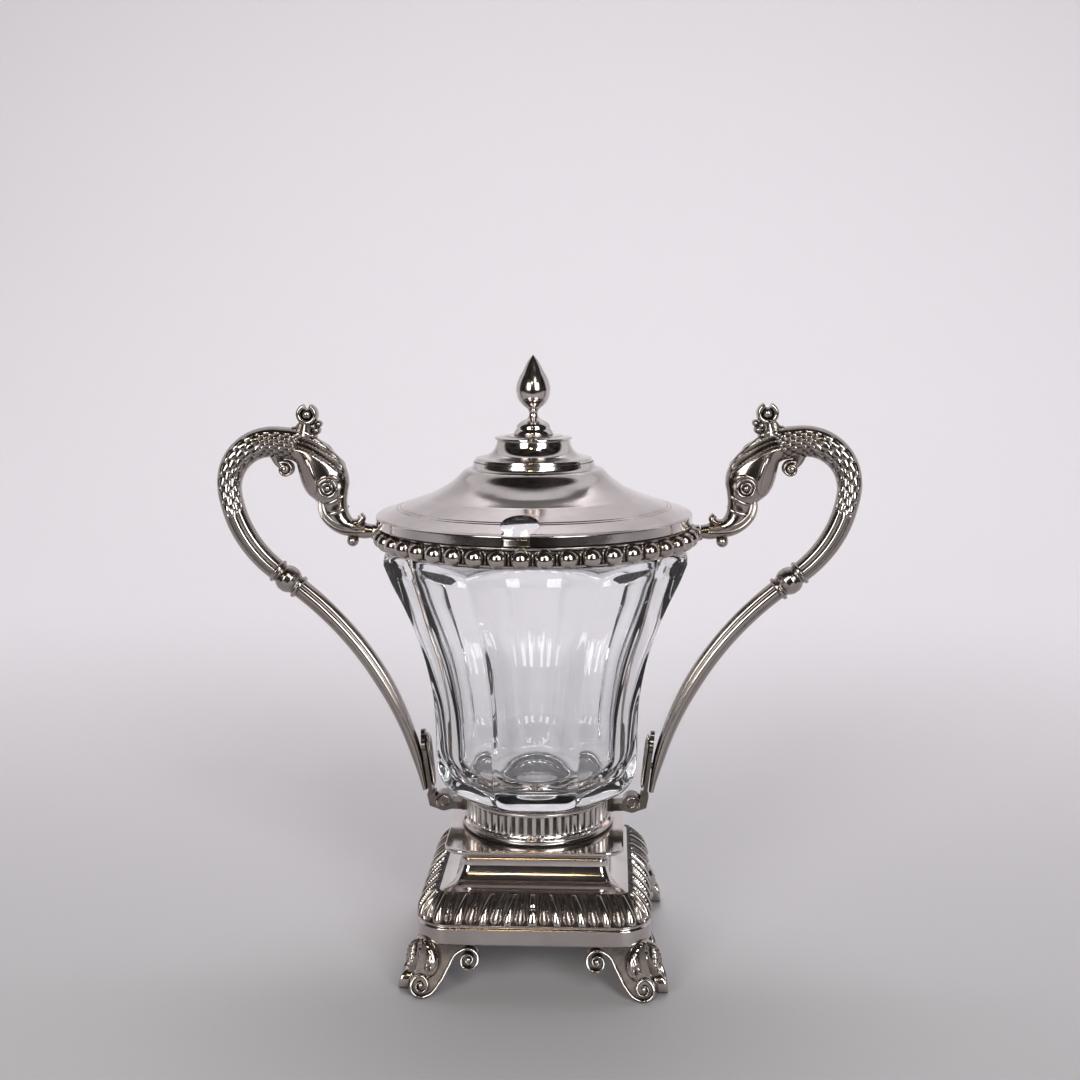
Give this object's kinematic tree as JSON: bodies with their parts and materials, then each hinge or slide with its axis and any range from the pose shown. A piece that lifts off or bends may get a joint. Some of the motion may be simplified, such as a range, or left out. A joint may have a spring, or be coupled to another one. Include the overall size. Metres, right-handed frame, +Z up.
{
  "type": "mustard pot",
  "caption": "Footed glass jar in a silver mount with a square plinth, a beaded rim, dolphin handles and a loose domed lid notched for a spoon.",
  "frame": {"origin": "centre of the bounding box at the table", "axes": "+X along the two handles, -Y to the front where the lid's notch is, +Z up"},
  "size_m": [0.1896, 0.0962, 0.18],
  "materials": {
    "silver": "polished silver with dark oxidised recesses",
    "clear_glass": "clear cut glass"
  },
  "bodies": {
    "pot": {"foot_front_left": "silver", "foot_front_right": "silver", "foot_back_left": "silver", "foot_back_right": "silver", "apron_band": "silver", "gadroon_border": "silver", "plinth_waist": "silver", "plinth_plate": "silver", "fluted_collar": "silver", "base_nut": "silver", "bracket_left": "silver", "bracket_right": "silver", "handle_screw_left": "silver", "handle_screw_right": "silver", "handle_bar_left": "silver", "handle_bar_right": "silver", "dolphin_left": "silver", "dolphin_right": "silver", "beaded_rim": "silver", "glass_liner": "clear_glass"},
    "lid": {"lid_cover": "silver", "finial_cap": "silver", "finial": "silver", "finial_nut": "silver"}
  },
  "joints": [
    {"name": "lid_lift", "type": "slide", "parent": "pot", "child": "lid", "axis": [0, 0, 1], "range_m": [0, 0.06]}
  ]
}
